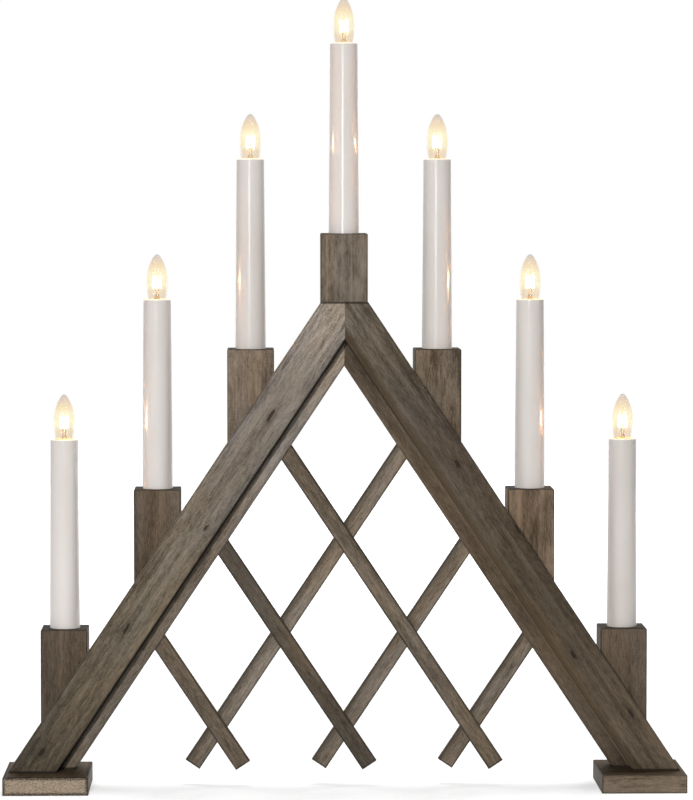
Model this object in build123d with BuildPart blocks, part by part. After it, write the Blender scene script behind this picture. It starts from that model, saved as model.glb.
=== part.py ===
from build123d import *
import os
from math import atan2, degrees, hypot, sqrt

# Candle arch: seven electric candles on a mitred timber gable that holds a slatted lattice.
# +Z is up, the front faces -Y, and the origin is on the floor midway between the feet.
# The plane Y = 0 is the glue line between the front rafters and all that is behind them.
# All lengths are in millimetres.

os.makedirs("parts", exist_ok=True)

# Candle row
side_candles = 3            # candles on each slope, beside the crown candle
candle_pitch = 64.0         # from candle to candle, across
candle_rise = 96.0          # from candle to candle, up

# Rafters, the mitred front pair
rafter_top = 333.0          # flat cut at the crown, above the floor
rafter_width = 27.2
rafter_thick = 16.0
edge_ease = 1.0             # eased edges of rafters, blocks and feet

# Battens, glued behind the rafters
batten_width = 24.0
batten_thick = 16.0
batten_reveal = 10.5        # shows past the rafter's inner edge
batten_round = 3.0          # rounded inner front edge

# Candle blocks
block_width = 32.0
block_depth = 32.0
block_stand = 39.5          # top above the rafter's outer edge, at the candle's axis
crown_stand = 46.5          # crown block's top above the rafters' flat cut

# Feet
foot_width = 58.0
foot_depth = 70.0
foot_height = 12.5
foot_toe = 2.6              # past the rafter's outer edge

# Lattice slats, in two layers
slats_each_way = 3
slat_width = 11.5
slat_thick = 6.0
slat_ease = 0.8
lattice_pitch = 87.0        # from slat to slat, across
lowest_crossing = 40.0      # height of the lowest crossings, above the floor
slat_end_height = 14.0      # middle of the free lower ends, above the floor

# Headless pins in the lattice
pin_diameter = 1.6
pin_cover = 2.0             # wood left in front of a crossing pin

# Wood screws up through the feet
screw_diameter = 3.5
screw_head_diameter = 7.0
screw_length = 29.0
screw_point = 4.0
screw_recess = 0.4

# Wires, in a duct milled into the rafters' backs
wire_diameter = 1.8
wire_spread = 2.6           # wires to each side of the bore's axis
wire_room = 0.5             # between a wire and the wall of its bore or duct
wire_lane = 1.8             # wires to each side of the duct's middle
wire_bend = 3.0
peak_bend_share = 0.6       # of the bend, where the return wire turns over the peak
duct_depth = 7.0
inlet_bore = 7.0            # hole in the right batten's back for the supply lead
inlet_setback = 32.0        # up the slope from the lowest candle's wires
inlet_slack = 8.0           # wires end this far from the inlet's axis

# Candle tubes
tube_stand = 130.0          # above the block
tube_seat = 16.0            # let into the block
tube_wall = 1.5             # at the rim
tube_taper = 2.0            # wider at the block than at the rim
tube_rim_ease = 0.5

# Lampholder in the tube's top
holder_drop = 0.8           # below the tube's rim
holder_wall = 0.8
holder_floor = 5.8
neck_room = 0.6             # round the glass neck and under it

# Brass socket in the lampholder
socket_wall = 0.35
socket_drop = 0.7           # below the pocket for the glass neck
contact_diameter = 4.0
contact_thick = 0.5
contact_rivet = 1.8

# Screw-cap bulb, with heights counted from the tube's rim
bulb_stand = 30.5
globe_diameter = 15.0
globe_belly = 13.4
globe_tip_radius = 2.75
globe_neck_diameter = 12.2
globe_neck_drop = 2.8
globe_shoulder = 1.5        # height of the cone between neck and cap
glass_wall = 0.7
glass_plug = 3.0            # fused glass that closes the neck inside the cap
stem_diameter = 3.2
stem_stand = 2.0
cap_diameter = 9.5
cap_length = 8.1
cap_wall = 0.3
cap_taper = 1.0
tip_diameter = 6.4
tip_end_diameter = 2.4
tip_length = 2.0
contact_gap = 0.1           # bulb tip above the contact when screwed home
filament_wire = 0.5
filament_foot = 0.9         # lead from the stem's axis
filament_spread = 2.0
filament_stand = 13.0
filament_bend_share = 0.85  # of the spread

# Clearances
glue_fit = 0.1              # pieces pushed together and glued
drive_fit = 0.05            # pins and screws in their holes
thread_fit = 0.2            # bulb cap in its socket, radially
overrun = 2.0               # reach of a cut past a face

# Worked out from the sizes above
slope_length = hypot(candle_pitch, candle_rise)
slope_x = candle_pitch / slope_length
slope_z = candle_rise / slope_length
run_per_rise = candle_pitch / candle_rise
gable_peak = rafter_top + block_width / 2 / run_per_rise
batten_outer = rafter_width + batten_reveal - batten_width
batten_inner = rafter_width + batten_reveal
exit_line = batten_outer / 2
duct_line = (batten_outer + rafter_width) / 2
duct_width = wire_diameter + 2 * (wire_spread + wire_room)
wire_bore = duct_width
candle_line = block_depth / 2
pin_length = 2 * slat_thick - pin_cover
left = -1
right = 1


def on_slope(side, along, inward):
    """Point of the gable: along the slope from the peak, and inward from the outer edge."""
    x = along * slope_x - inward * slope_z
    z = gable_peak - along * slope_z - inward * slope_x
    return (side * x, z)


def along_at_x(x, inward):
    return (x + inward * slope_z) / slope_x


def along_at_height(z, inward):
    return (gable_peak - z - inward * slope_x) / slope_z


def height_at_x(x, inward):
    return on_slope(right, along_at_x(x, inward), inward)[1]


def x_at_height(z, inward):
    return on_slope(right, along_at_height(z, inward), inward)[0]


def slope_axis(side):
    return Axis((0, 0, 0), (side * slope_x, 0, -slope_z))


def gable_plane(y):
    """Upright plane that faces the front, at depth y."""
    return Plane.XZ.offset(-y)


def candle_plane(x, height):
    """Upright plane through a candle's axis, with its origin on the axis at that height."""
    return Plane(origin=(x, candle_line, height), x_dir=(1, 0, 0), z_dir=(0, -1, 0))


def candle_axis(x):
    return Axis((x, candle_line, 0), (0, 0, 1))


def save(piece, name):
    piece.part.label = name
    export_step(piece.part, f"parts/{name}.step")


# Flame outline of the globe: a long arc up to the belly, an ogive above it and a rounded tip
belly_radius = globe_diameter / 2
neck_radius = globe_neck_diameter / 2
flare_rise = globe_belly + globe_neck_drop
flare_out = belly_radius - neck_radius
flare_radius = (flare_rise**2 + flare_out**2) / (2 * flare_out)
tip_rise = bulb_stand - globe_tip_radius - globe_belly
ogive_span = belly_radius**2 + tip_rise**2 - globe_tip_radius**2
ogive_radius = ogive_span / (2 * (belly_radius - globe_tip_radius))
tip_to_ogive = ogive_radius - globe_tip_radius


def flare_at(height, wall):
    """Radius of the lower arc at a height, for the outside or for the inside of the wall."""
    arc = flare_radius - wall
    return belly_radius - flare_radius + sqrt(arc**2 - (globe_belly - height) ** 2)


def ogive_at(height, wall):
    arc = ogive_radius - wall
    return belly_radius - ogive_radius + sqrt(arc**2 - (height - globe_belly) ** 2)


def tip_joint(wall):
    """Point where the ogive runs into the tip."""
    reach = globe_tip_radius - wall
    x = reach * (ogive_radius - belly_radius) / tip_to_ogive
    z = bulb_stand - globe_tip_radius + reach * tip_rise / tip_to_ogive
    return (x, z)


def tip_side(wall):
    """Point of the rounded tip between its joint and its top."""
    reach = globe_tip_radius - wall
    joint_x, joint_z = tip_joint(wall)
    chord_x = joint_x / 2
    return (chord_x, bulb_stand - globe_tip_radius + sqrt(reach**2 - chord_x**2))


# Levels in the lamp, counted down from the rim, and the radii that stack up from the bulb to the tube
cap_drop = globe_neck_drop + globe_shoulder
pocket_floor = cap_drop + neck_room
socket_floor = cap_drop + cap_length + tip_length + contact_gap + contact_thick
holder_bottom = socket_floor + holder_floor
socket_outer = cap_diameter / 2 + thread_fit + socket_wall
pocket_radius = flare_at(-holder_drop, 0) + neck_room
holder_radius = pocket_radius + holder_wall
tube_bore_radius = holder_radius + glue_fit
rim_radius = tube_bore_radius + tube_wall
base_radius = rim_radius + tube_taper / 2


# Places of the candles, numbered from left to right
batten_seat = height_at_x(block_width / 2, batten_outer)
crown_wire_height = height_at_x(wire_spread, duct_line - wire_lane)
candles = {}
for step in range(-side_candles, side_candles + 1):
    candle_x = step * candle_pitch
    if step == 0:
        block_top = rafter_top + crown_stand
        exit_height = crown_wire_height
    else:
        block_top = height_at_x(abs(candle_x), 0) + block_stand
        exit_height = height_at_x(abs(candle_x), exit_line)
    candles[step] = {
        "number": step + side_candles + 1,
        "x": candle_x,
        "block_top": block_top,
        "rim": block_top + tube_stand,
        "exit_height": exit_height,
    }


# Foot screws: one into the rafter and one into the batten, on each foot
screw_tip_height = screw_recess + screw_length
screw_middle_height = (foot_height + screw_tip_height) / 2
rafter_screw_line = rafter_width / 2
batten_screw_line = (batten_outer + batten_inner) / 2
rafter_screw_x = x_at_height(screw_middle_height, rafter_screw_line)
batten_screw_x = x_at_height(screw_middle_height, batten_screw_line)
rafter_screw_y = -rafter_thick / 2
batten_screw_y = batten_thick / 2


# Lattice geometry: each slat runs up and outward to the batten on its own side
crossing_drop = lattice_pitch / 2 / run_per_rise
top_crossing = lowest_crossing + (slats_each_way - 1) * crossing_drop


def slat_axis_point(index, height):
    """Distance from the centre line, towards the slat's batten, of its axis at a height."""
    return index * lattice_pitch - (top_crossing - height) * run_per_rise


def reach_to_batten(x, z):
    """Length from a point up along the slat to the batten's inner edge."""
    return ((gable_peak - z) * run_per_rise - batten_inner / slope_z - x) / (2 * slope_x)


def slat_outline(side, index):
    end_x = slat_axis_point(index, slat_end_height)
    corners = []
    for edge in (-1, 1):
        low_x = end_x + edge * slope_z * slat_width / 2
        low_z = slat_end_height - edge * slope_x * slat_width / 2
        reach = reach_to_batten(low_x, low_z)
        corners.append(((low_x, low_z), (low_x + reach * slope_x, low_z + reach * slope_z)))
    (lower_a, upper_a), (lower_b, upper_b) = corners
    return [(side * x, z) for x, z in (lower_a, lower_b, upper_b, upper_a)]


# The front slats rise to the left, the rear ones to the right
slat_names = {left: "front_slat", right: "rear_slat"}
slat_backs = {left: batten_thick - slat_thick, right: batten_thick}


def slat_end_plane(side, index):
    """Plane across a slat's axis where it meets its batten, facing up along the slat."""
    x = slat_axis_point(index, slat_end_height)
    reach = reach_to_batten(x, slat_end_height)
    depth = slat_backs[side] - slat_thick / 2
    origin = (side * (x + reach * slope_x), depth, slat_end_height + reach * slope_z)
    return Plane(origin=origin, z_dir=(side * slope_x, 0, slope_z))


crossings = []
for front_index in range(slats_each_way):
    for rear_index in range(slats_each_way - front_index):
        crossing_x = (rear_index - front_index) * lattice_pitch / 2
        crossing_z = top_crossing - (front_index + rear_index) * crossing_drop
        crossings.append((front_index, rear_index, crossing_x, crossing_z))


# Duct that the wires run in, from the mitre to the lowest candle
last_exit_along = along_at_x(side_candles * candle_pitch, exit_line)
inlet_along = last_exit_along - inlet_setback
duct_end_along = last_exit_along + wire_spread
duct_peak_along = along_at_x(0, duct_line)


def routed_slot(start, end):
    """Round-ended slot of the duct's width between two points of a sketch."""
    run = end[0] - start[0]
    rise = end[1] - start[1]
    with Locations((start[0] + run / 2, start[1] + rise / 2)):
        SlotCenterToCenter(hypot(run, rise), duct_width, rotation=degrees(atan2(rise, run)))


def make_rafter(side, name):
    foot_outer = on_slope(side, along_at_height(foot_height, 0), 0)
    foot_inner = on_slope(side, along_at_height(foot_height, rafter_width), rafter_width)
    mitre_end = on_slope(side, along_at_x(0, rafter_width), rafter_width)
    with BuildPart() as rafter:
        with BuildSketch(Plane.XZ):
            with BuildLine():
                Polyline(
                    (0, rafter_top),
                    (side * block_width / 2, rafter_top),
                    foot_outer,
                    foot_inner,
                    mitre_end,
                    close=True,
                )
            make_face()
        extrude(amount=rafter_thick)
        long_edges = rafter.edges().filter_by(slope_axis(side))
        fillet(long_edges.group_by(Axis.Y)[0], edge_ease)
        # Main duct from the mitre down to the lowest candle, and a branch from each block's bore into it
        with BuildSketch(Plane.XZ):
            duct_start = on_slope(side, duct_peak_along, duct_line)
            routed_slot(duct_start, on_slope(side, duct_end_along, duct_line))
            for step in range(1, side_candles + 1):
                exit_along = along_at_x(step * candle_pitch, exit_line)
                routed_slot(on_slope(side, exit_along, exit_line), on_slope(side, exit_along, duct_line))
        extrude(amount=duct_depth, mode=Mode.SUBTRACT)
        with BuildSketch(Plane.XY.offset(foot_height)):
            with Locations((side * rafter_screw_x, rafter_screw_y)):
                Circle(screw_diameter / 2 + drive_fit)
        extrude(amount=screw_tip_height - foot_height + drive_fit, mode=Mode.SUBTRACT)
    save(rafter, name)


def make_batten(side, name, has_inlet):
    foot_outer = on_slope(side, along_at_height(foot_height, batten_outer), batten_outer)
    foot_inner = on_slope(side, along_at_height(foot_height, batten_inner), batten_inner)
    mitre_end = on_slope(side, along_at_x(0, batten_inner), batten_inner)
    with BuildPart() as batten:
        with BuildSketch(Plane.XZ):
            with BuildLine():
                Polyline(
                    (0, batten_seat),
                    (side * block_width / 2, batten_seat),
                    foot_outer,
                    foot_inner,
                    mitre_end,
                    close=True,
                )
            make_face()
        extrude(amount=-batten_thick)
        inward_axis = Axis((0, 0, 0), (-side * slope_z, 0, -slope_x))
        inner_edges = batten.edges().filter_by(slope_axis(side)).group_by(inward_axis)[-1]
        fillet(inner_edges.sort_by(Axis.Y)[0], batten_round)
        fillet(batten.edges().filter_by(slope_axis(side)).group_by(Axis.Y)[-1], edge_ease)
        with BuildSketch(Plane.XY.offset(foot_height)):
            with Locations((side * batten_screw_x, batten_screw_y)):
                Circle(screw_diameter / 2 + drive_fit)
        extrude(amount=screw_tip_height - foot_height + drive_fit, mode=Mode.SUBTRACT)
        # Pin holes for the slats that end on this batten
        for index in range(slats_each_way):
            with BuildSketch(slat_end_plane(side, index)):
                Circle(pin_diameter / 2 + drive_fit)
            extrude(amount=pin_length / 2 + drive_fit, both=True, mode=Mode.SUBTRACT)
        if has_inlet:
            with BuildSketch(gable_plane(-overrun)):
                with Locations(on_slope(side, inlet_along, duct_line)):
                    Circle(inlet_bore / 2)
            extrude(amount=-batten_thick - 2 * overrun, mode=Mode.SUBTRACT)
    save(batten, name)


def make_foot(side, name):
    foot_x = side * (x_at_height(foot_height, 0) + foot_toe - foot_width / 2)
    screw_places = [
        Location((side * rafter_screw_x, rafter_screw_y, 0), (180, 0, 0)),
        Location((side * batten_screw_x, batten_screw_y, 0), (180, 0, 0)),
    ]
    with BuildPart() as foot:
        with BuildSketch(Plane.XY):
            with Locations((foot_x, 0)):
                Rectangle(foot_width, foot_depth)
        extrude(amount=foot_height)
        fillet(foot.edges().filter_by(Axis.Z), edge_ease)
        fillet(foot.faces().sort_by(Axis.Z)[-1].edges(), edge_ease)
        with Locations(screw_places):
            CounterSinkHole(
                screw_diameter / 2 + drive_fit,
                screw_head_diameter / 2,
                counter_sink_angle=90,
            )
    save(foot, name)


def make_block(step, candle):
    x = candle["x"]
    top = candle["block_top"]
    half = block_width / 2
    if step == 0:
        left_bottom = batten_seat
        right_bottom = batten_seat
    else:
        left_bottom = height_at_x(abs(x - half), batten_outer)
        right_bottom = height_at_x(abs(x + half), batten_outer)
    with BuildPart() as block:
        with BuildSketch(Plane.XZ):
            with BuildLine():
                Polyline(
                    (x - half, top),
                    (x + half, top),
                    (x + half, right_bottom),
                    (x - half, left_bottom),
                    close=True,
                )
            make_face()
        extrude(amount=-block_depth)
        fillet(block.edges().filter_by(Axis.Z), edge_ease)
        fillet(block.faces().sort_by(Axis.Z)[-1].edges(), edge_ease)
        # Seat for the candle tube
        with BuildSketch(Plane.XY.offset(top - tube_seat)):
            with Locations((x, candle_line)):
                Circle(base_radius + glue_fit)
        extrude(amount=tube_seat + overrun, mode=Mode.SUBTRACT)
        # Wire bore, down the axis and out at the front into the duct
        with BuildSketch(Plane.XY.offset(candle["exit_height"] - wire_bore / 2)):
            with Locations((x, candle_line)):
                Circle(wire_bore / 2)
        extrude(amount=top - tube_seat - candle["exit_height"] + wire_bore / 2, mode=Mode.SUBTRACT)
        with BuildSketch(gable_plane(candle_line)):
            with Locations((x, candle["exit_height"])):
                Circle(wire_bore / 2)
        extrude(amount=candle_line, mode=Mode.SUBTRACT)
    save(block, f"candle_block_{candle['number']}")


def make_slat(side, index):
    slat_direction = Axis((0, 0, 0), (side * slope_x, 0, slope_z))
    with BuildPart() as slat:
        with BuildSketch(gable_plane(slat_backs[side])):
            with BuildLine():
                Polyline(*slat_outline(side, index), close=True)
            make_face()
        extrude(amount=slat_thick)
        fillet(slat.edges().filter_by(slat_direction), slat_ease)
        with BuildSketch(slat_end_plane(side, index)):
            Circle(pin_diameter / 2 + drive_fit)
        extrude(amount=pin_length / 2 + drive_fit, both=True, mode=Mode.SUBTRACT)
        for front_index, rear_index, x, z in crossings:
            if index == (front_index if side == left else rear_index):
                with BuildSketch(gable_plane(batten_thick)):
                    with Locations((x, z)):
                        Circle(pin_diameter / 2 + drive_fit)
                extrude(amount=pin_length + drive_fit, mode=Mode.SUBTRACT)
    save(slat, f"{slat_names[side]}_{index + 1}")


def make_lattice_pins():
    with BuildPart() as pins:
        for side in (left, right):
            for index in range(slats_each_way):
                with BuildSketch(slat_end_plane(side, index)):
                    Circle(pin_diameter / 2)
                extrude(amount=pin_length / 2, both=True)
        for _, _, x, z in crossings:
            with BuildSketch(gable_plane(batten_thick)):
                with Locations((x, z)):
                    Circle(pin_diameter / 2)
            extrude(amount=pin_length)
    save(pins, "lattice_pins")


def make_foot_screws():
    head_radius = screw_head_diameter / 2 - drive_fit - screw_recess
    shank_radius = screw_diameter / 2
    head_bottom = screw_head_diameter / 2 - drive_fit - shank_radius
    with BuildPart() as screws:
        for side in (left, right):
            for x, y in ((rafter_screw_x, rafter_screw_y), (batten_screw_x, batten_screw_y)):
                profile_plane = Plane(origin=(side * x, y, 0), x_dir=(1, 0, 0), z_dir=(0, -1, 0))
                with BuildSketch(profile_plane):
                    with BuildLine():
                        Polyline(
                            (0, screw_recess),
                            (head_radius, screw_recess),
                            (shank_radius, head_bottom),
                            (shank_radius, screw_tip_height - screw_point),
                            (0, screw_tip_height),
                            close=True,
                        )
                    make_face()
                revolve(axis=Axis((side * x, y, 0), (0, 0, 1)))
    save(screws, "foot_screws")


def make_candle_tube(candle):
    seat_floor = -tube_stand - tube_seat
    with BuildPart() as tube:
        with BuildSketch(candle_plane(candle["x"], candle["rim"])):
            with BuildLine():
                Polyline(
                    (tube_bore_radius, 0),
                    (rim_radius, 0),
                    (base_radius, -tube_stand),
                    (base_radius, seat_floor),
                    (tube_bore_radius, seat_floor),
                    close=True,
                )
            make_face()
        revolve(axis=candle_axis(candle["x"]))
        fillet(tube.faces().sort_by(Axis.Z)[-1].edges(), tube_rim_ease)
    save(tube, f"candle_tube_{candle['number']}")


def make_lampholders():
    with BuildPart() as holders:
        for candle in candles.values():
            with BuildSketch(candle_plane(candle["x"], candle["rim"])):
                with BuildLine():
                    Polyline(
                        (holder_radius, -holder_drop),
                        (holder_radius, -holder_bottom),
                        (contact_rivet / 2, -holder_bottom),
                        (contact_rivet / 2, -socket_floor),
                        (socket_outer, -socket_floor),
                        (socket_outer, -pocket_floor),
                        (pocket_radius, -pocket_floor),
                        (pocket_radius, -holder_drop),
                        close=True,
                    )
                make_face()
            revolve(axis=candle_axis(candle["x"]))
    save(holders, "lampholders")


def make_socket_shells():
    with BuildPart() as shells:
        for candle in candles.values():
            with BuildSketch(candle_plane(candle["x"], candle["rim"])):
                with BuildLine():
                    Polyline(
                        (socket_outer - socket_wall, -socket_floor),
                        (socket_outer, -socket_floor),
                        (socket_outer, -pocket_floor - socket_drop),
                        (socket_outer - socket_wall, -pocket_floor - socket_drop),
                        close=True,
                    )
                make_face()
            revolve(axis=candle_axis(candle["x"]))
    save(shells, "socket_shells")


def make_socket_contacts():
    with BuildPart() as contacts:
        for candle in candles.values():
            with BuildSketch(candle_plane(candle["x"], candle["rim"])):
                with BuildLine():
                    Polyline(
                        (0, -socket_floor + contact_thick),
                        (contact_diameter / 2, -socket_floor + contact_thick),
                        (contact_diameter / 2, -socket_floor),
                        (contact_rivet / 2, -socket_floor),
                        (contact_rivet / 2, -holder_bottom),
                        (0, -holder_bottom),
                        close=True,
                    )
                make_face()
            revolve(axis=candle_axis(candle["x"]))
    save(contacts, "socket_contacts")


cap_bore = cap_diameter / 2 - cap_wall
plug_bottom = cap_drop + glass_plug + glass_wall
inner_neck_level = -globe_neck_drop + glass_wall / 2
inner_cap_level = -cap_drop + glass_wall / 2


def make_bulb_globe(candle):
    low_middle = (globe_belly - globe_neck_drop) / 2
    inner_low_middle = (globe_belly + inner_neck_level) / 2
    high_middle = (globe_belly + tip_joint(0)[1]) / 2
    inner_high_middle = (globe_belly + tip_joint(glass_wall)[1]) / 2
    with BuildPart() as globe:
        with BuildSketch(candle_plane(candle["x"], candle["rim"])):
            with BuildLine():
                Polyline(
                    (0, -plug_bottom),
                    (cap_bore, -plug_bottom),
                    (cap_bore, -cap_drop),
                    (neck_radius, -globe_neck_drop),
                )
                ThreePointArc(
                    (neck_radius, -globe_neck_drop),
                    (flare_at(low_middle, 0), low_middle),
                    (belly_radius, globe_belly),
                )
                ThreePointArc(
                    (belly_radius, globe_belly),
                    (ogive_at(high_middle, 0), high_middle),
                    tip_joint(0),
                )
                ThreePointArc(tip_joint(0), tip_side(0), (0, bulb_stand))
                Line((0, bulb_stand), (0, bulb_stand - glass_wall))
                ThreePointArc((0, bulb_stand - glass_wall), tip_side(glass_wall), tip_joint(glass_wall))
                ThreePointArc(
                    tip_joint(glass_wall),
                    (ogive_at(inner_high_middle, glass_wall), inner_high_middle),
                    (belly_radius - glass_wall, globe_belly),
                )
                ThreePointArc(
                    (belly_radius - glass_wall, globe_belly),
                    (flare_at(inner_low_middle, glass_wall), inner_low_middle),
                    (flare_at(inner_neck_level, glass_wall), inner_neck_level),
                )
                Polyline(
                    (flare_at(inner_neck_level, glass_wall), inner_neck_level),
                    (cap_bore - glass_wall, inner_cap_level),
                    (cap_bore - glass_wall, -plug_bottom + glass_plug),
                    (stem_diameter / 2, -plug_bottom + glass_plug),
                    (stem_diameter / 2, stem_stand),
                    (0, stem_stand),
                    (0, -plug_bottom),
                )
            make_face()
        revolve(axis=candle_axis(candle["x"]))
    save(globe, f"bulb_globe_{candle['number']}")


def make_bulb_cap(candle):
    cap_bottom = cap_drop + cap_length
    with BuildPart() as cap:
        with BuildSketch(candle_plane(candle["x"], candle["rim"])):
            with BuildLine():
                Polyline(
                    (cap_bore, -cap_drop),
                    (cap_diameter / 2, -cap_drop),
                    (cap_diameter / 2, -cap_bottom + cap_taper),
                    (tip_diameter / 2, -cap_bottom),
                    (tip_diameter / 2 - cap_wall, -cap_bottom),
                    (cap_bore, -cap_bottom + cap_taper),
                    close=True,
                )
            make_face()
        revolve(axis=candle_axis(candle["x"]))
    save(cap, f"bulb_cap_{candle['number']}")


def make_bulb_tip(candle):
    tip_top = -cap_drop - cap_length
    tip_bottom = tip_top - tip_length
    with BuildPart() as tip:
        with BuildSketch(candle_plane(candle["x"], candle["rim"])):
            with BuildLine():
                Polyline(
                    (0, tip_top),
                    (tip_diameter / 2, tip_top),
                    (tip_end_diameter / 2, tip_bottom),
                    (0, tip_bottom),
                    close=True,
                )
            make_face()
        revolve(axis=candle_axis(candle["x"]))
    save(tip, f"bulb_tip_{candle['number']}")


def make_bulb_filament(candle):
    x = candle["x"]
    foot_level = candle["rim"] + stem_stand
    loop_level = candle["rim"] + filament_stand
    with BuildPart() as filament:
        with BuildLine() as lead:
            FilletPolyline(
                (x - filament_foot, candle_line, foot_level),
                (x - filament_spread, candle_line, loop_level),
                (x + filament_spread, candle_line, loop_level),
                (x + filament_foot, candle_line, foot_level),
                radius=filament_spread * filament_bend_share,
            )
        with BuildSketch(Plane(origin=lead.line @ 0, z_dir=lead.line % 0)):
            Circle(filament_wire / 2)
        sweep()
    save(filament, f"bulb_filament_{candle['number']}")


# Series wiring: each wire leaves a lampholder, drops through the block into the duct and runs on
def wire_drop(candle, side, offset):
    """Points from a lampholder down into the duct's branch, in order."""
    if candle["x"] == 0:
        x = side * wire_spread
        z = crown_wire_height
    else:
        along = along_at_x(abs(candle["x"]), exit_line) + offset
        x, z = on_slope(side, along, exit_line)
    holder_level = candle["rim"] - holder_bottom
    return [(x, candle_line, holder_level), (x, candle_line, z), (x, -duct_depth / 2, z)]


def duct_point(side, along, inward):
    x, z = on_slope(side, along, inward)
    return (x, -duct_depth / 2, z)


def wire_routes():
    upper_lane = duct_line - wire_lane
    lower_lane = duct_line + wire_lane
    routes = []
    # Links between neighbouring candles, on both slopes
    for side in (left, right):
        for step in range(side_candles):
            upper = candles[side * step]
            lower = candles[side * (step + 1)]
            lower_along = along_at_x(abs(lower["x"]), exit_line) - wire_spread
            route = wire_drop(upper, side, wire_spread)
            if step > 0:
                upper_along = along_at_x(abs(upper["x"]), exit_line) + wire_spread
                route.append(duct_point(side, upper_along, upper_lane))
            route.append(duct_point(side, lower_along, upper_lane))
            route.extend(reversed(wire_drop(lower, side, -wire_spread)))
            routes.append(route)
    # Feed from the last candle on the right to the inlet, and return from the last on the left
    feed = wire_drop(candles[side_candles], right, wire_spread)
    feed.append(duct_point(right, duct_end_along, lower_lane))
    feed.append(duct_point(right, inlet_along + inlet_slack, lower_lane))
    routes.append(feed)
    back = wire_drop(candles[-side_candles], left, wire_spread)
    back.append(duct_point(left, duct_end_along, lower_lane))
    back.append(duct_point(right, along_at_x(0, lower_lane), lower_lane))
    back.append(duct_point(right, inlet_along - inlet_slack, lower_lane))
    routes.append(back)
    return routes


def wire_bends(route):
    """Bend radius at each inner point of a route, tighter where it turns over the peak."""
    return [wire_bend * peak_bend_share if point[0] == 0 else wire_bend for point in route[1:-1]]


def make_series_wires():
    with BuildPart() as wires:
        for route in wire_routes():
            with BuildLine() as path:
                FilletPolyline(*route, radius=wire_bends(route))
            with BuildSketch(Plane(origin=path.line @ 0, z_dir=path.line % 0)):
                Circle(wire_diameter / 2)
            sweep()
    save(wires, "series_wires")


make_rafter(left, "left_rafter")
make_rafter(right, "right_rafter")
make_batten(left, "left_batten", has_inlet=False)
make_batten(right, "right_batten", has_inlet=True)
make_foot(left, "left_foot")
make_foot(right, "right_foot")
for step, candle in candles.items():
    make_block(step, candle)
    make_candle_tube(candle)
    make_bulb_globe(candle)
    make_bulb_cap(candle)
    make_bulb_tip(candle)
    make_bulb_filament(candle)
for side in (left, right):
    for index in range(slats_each_way):
        make_slat(side, index)
make_lampholders()
make_socket_shells()
make_socket_contacts()
make_series_wires()
make_lattice_pins()
make_foot_screws()
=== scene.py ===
from math import atan2, cos, pi, radians, sin

import bmesh
import bpy
from mathutils import Euler, Matrix, Vector


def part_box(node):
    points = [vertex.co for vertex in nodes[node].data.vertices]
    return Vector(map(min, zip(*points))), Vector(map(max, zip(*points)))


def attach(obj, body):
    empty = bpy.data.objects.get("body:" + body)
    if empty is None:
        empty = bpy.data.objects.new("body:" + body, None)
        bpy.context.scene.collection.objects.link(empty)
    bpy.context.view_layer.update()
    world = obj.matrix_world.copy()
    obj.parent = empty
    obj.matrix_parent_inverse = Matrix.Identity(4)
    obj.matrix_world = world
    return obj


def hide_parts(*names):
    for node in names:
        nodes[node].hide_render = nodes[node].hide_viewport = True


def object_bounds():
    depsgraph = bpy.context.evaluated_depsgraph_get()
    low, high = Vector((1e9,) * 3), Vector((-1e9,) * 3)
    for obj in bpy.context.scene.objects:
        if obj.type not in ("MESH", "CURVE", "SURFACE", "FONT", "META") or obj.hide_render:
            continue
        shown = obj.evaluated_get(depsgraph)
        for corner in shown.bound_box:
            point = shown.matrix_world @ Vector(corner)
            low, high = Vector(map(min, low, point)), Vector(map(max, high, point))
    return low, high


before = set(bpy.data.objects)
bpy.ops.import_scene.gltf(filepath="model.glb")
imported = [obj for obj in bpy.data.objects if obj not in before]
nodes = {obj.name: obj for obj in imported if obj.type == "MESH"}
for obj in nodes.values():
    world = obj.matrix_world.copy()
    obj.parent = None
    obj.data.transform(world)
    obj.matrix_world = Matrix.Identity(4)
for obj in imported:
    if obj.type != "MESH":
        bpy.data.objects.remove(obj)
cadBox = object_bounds()
numbers = range(1, 8)  # candles from left to right
mm = 0.001
print("frame loaded, nodes:", len(nodes))

scene = bpy.context.scene
scene.view_settings.view_transform = "Standard"

softSpan = (0.3, 0.7)  # part of a noise that is stretched to its whole range
firmSpan = (0.35, 0.65)


# small helpers for node trees
def newTree(name):
    material = bpy.data.materials.new(name)
    material.use_nodes = True
    tree = material.node_tree
    tree.nodes.clear()
    return material, tree


def put(tree, kind, sockets=None, **settings):
    node = tree.nodes.new(kind)
    for key, value in settings.items():
        setattr(node, key, value)
    for key, value in (sockets or {}).items():
        if isinstance(value, bpy.types.NodeSocket):
            tree.links.new(value, node.inputs[key])
        else:
            node.inputs[key].default_value = value
    return node


def colour(rgb, share=1.0):
    red, green, blue = rgb
    return (share * red, share * green, share * blue, 1.0)


def mixed(tree, factor, first, second, blend="MIX"):
    sockets = {0: factor, 6: first, 7: second}  # 6 and 7 are this node's colours
    return put(tree, "ShaderNodeMix", sockets, data_type="RGBA", blend_type=blend).outputs[2]


def ranged(tree, value, low, high, outLow=0.0, outHigh=1.0, smooth=False):
    kind = "SMOOTHSTEP" if smooth else "LINEAR"
    sockets = {"Value": value, "From Min": low, "From Max": high, "To Min": outLow, "To Max": outHigh}
    return put(tree, "ShaderNodeMapRange", sockets, interpolation_type=kind).outputs["Result"]


def combine(tree, first, second, operation="ADD"):
    return put(tree, "ShaderNodeMath", {0: first, 1: second}, operation=operation).outputs[0]


def awayFrom(tree, value, line):
    return combine(tree, combine(tree, value, -line), 0.0, "ABSOLUTE")


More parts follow.
